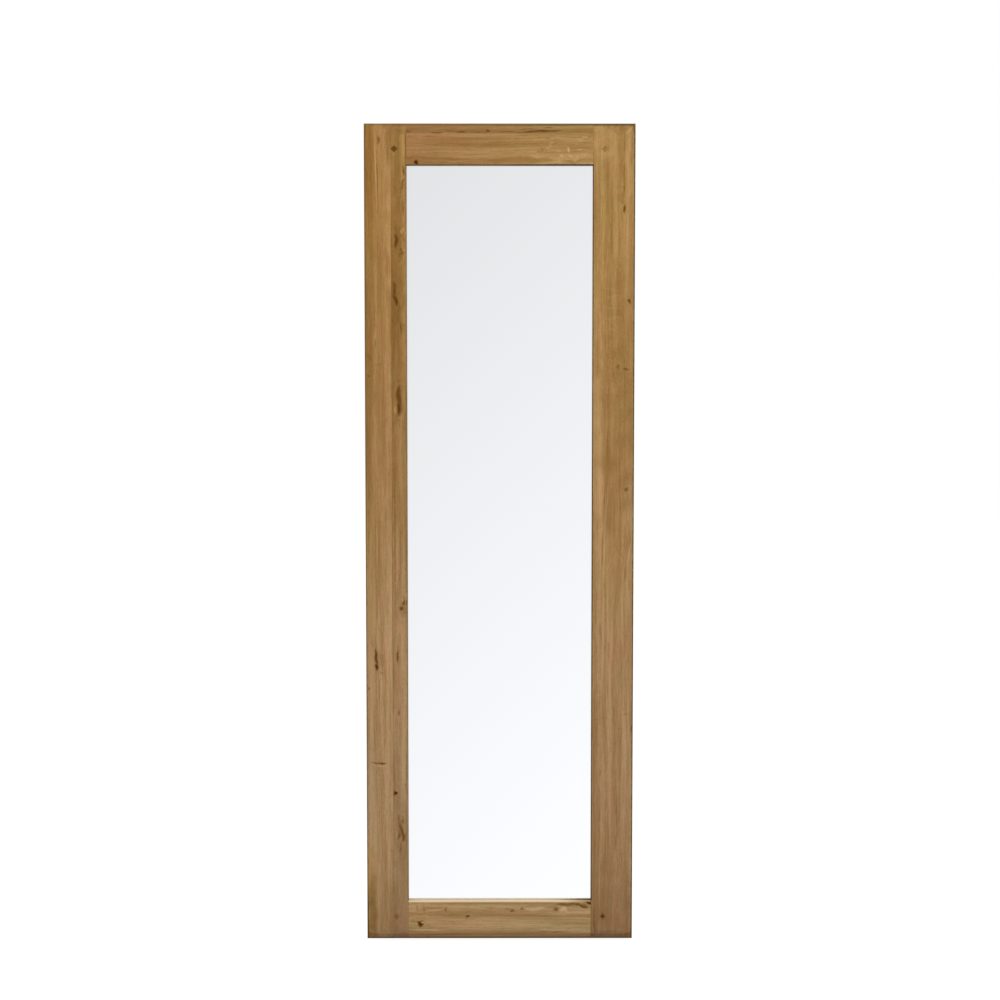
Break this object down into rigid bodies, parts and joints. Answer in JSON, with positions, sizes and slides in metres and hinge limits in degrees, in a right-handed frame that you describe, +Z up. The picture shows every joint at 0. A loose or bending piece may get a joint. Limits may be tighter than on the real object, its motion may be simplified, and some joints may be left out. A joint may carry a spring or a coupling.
{
  "type": "full-length mirror",
  "caption": "Tall rectangular wall mirror in a wide bevelled oak frame with pegged mortise-and-tenon corners, a beaded backing and swinging ring hangers.",
  "frame": {"origin": "bottom centre of the whole part, on the line midway between the peg heads at the front and the wall pads at the back", "axes": "+Z up the mirror, +X to the right as seen from the front, +Y from the mirror's face to the wall"},
  "size_m": [0.59, 0.0388, 1.8],
  "materials": {
    "oak": "waxed oak with knots, open grain and a soft sheen",
    "peg_oak": "end-grain oak peg, dark from the wax",
    "silvered_glass": "clear silvered float glass with ground edges",
    "packing": "matt synthetic rubber",
    "foam": "closed-cell foam sheet",
    "hardboard": "raw hardboard, smooth side out",
    "pin_steel": "bright steel panel pins",
    "plated_steel": "zinc-plated steel",
    "rubber": "matt black moulded rubber"
  },
  "bodies": {
    "mirror": {"stile_left_outer_stave": "oak", "stile_left_inner_stave": "oak", "stile_right": "oak", "rail_top": "oak", "rail_bottom": "oak", "peg_top_left": "peg_oak", "peg_top_right": "peg_oak", "peg_bottom_left": "peg_oak", "peg_bottom_right": "peg_oak", "mirror_pane": "silvered_glass", "setting_block_left": "packing", "setting_block_right": "packing", "edge_packers": "packing", "foam_sheet": "foam", "backing_board": "hardboard", "bead_top": "oak", "bead_right": "oak", "bead_bottom": "oak", "bead_left": "oak", "bead_pins": "pin_steel", "hanger_strap_left": "plated_steel", "hanger_strap_right": "plated_steel", "hanger_screws_left": "plated_steel", "hanger_screws_right": "plated_steel", "wall_pad_top_left": "rubber", "wall_pad_top_right": "rubber", "wall_pad_bottom_left": "rubber", "wall_pad_bottom_right": "rubber"},
    "ring_left": {"hanger_ring_left": "plated_steel"},
    "ring_right": {"hanger_ring_right": "plated_steel"}
  },
  "joints": [
    {"name": "ring_left_swing", "type": "hinge", "parent": "mirror", "child": "ring_left", "pos_m": [-0.265, 0.0152, 1.5], "axis": [1, 0, 0], "range_deg": [0, 180]},
    {"name": "ring_right_swing", "type": "hinge", "parent": "mirror", "child": "ring_right", "pos_m": [0.265, 0.0152, 1.5], "axis": [1, 0, 0], "range_deg": [0, 180]}
  ]
}
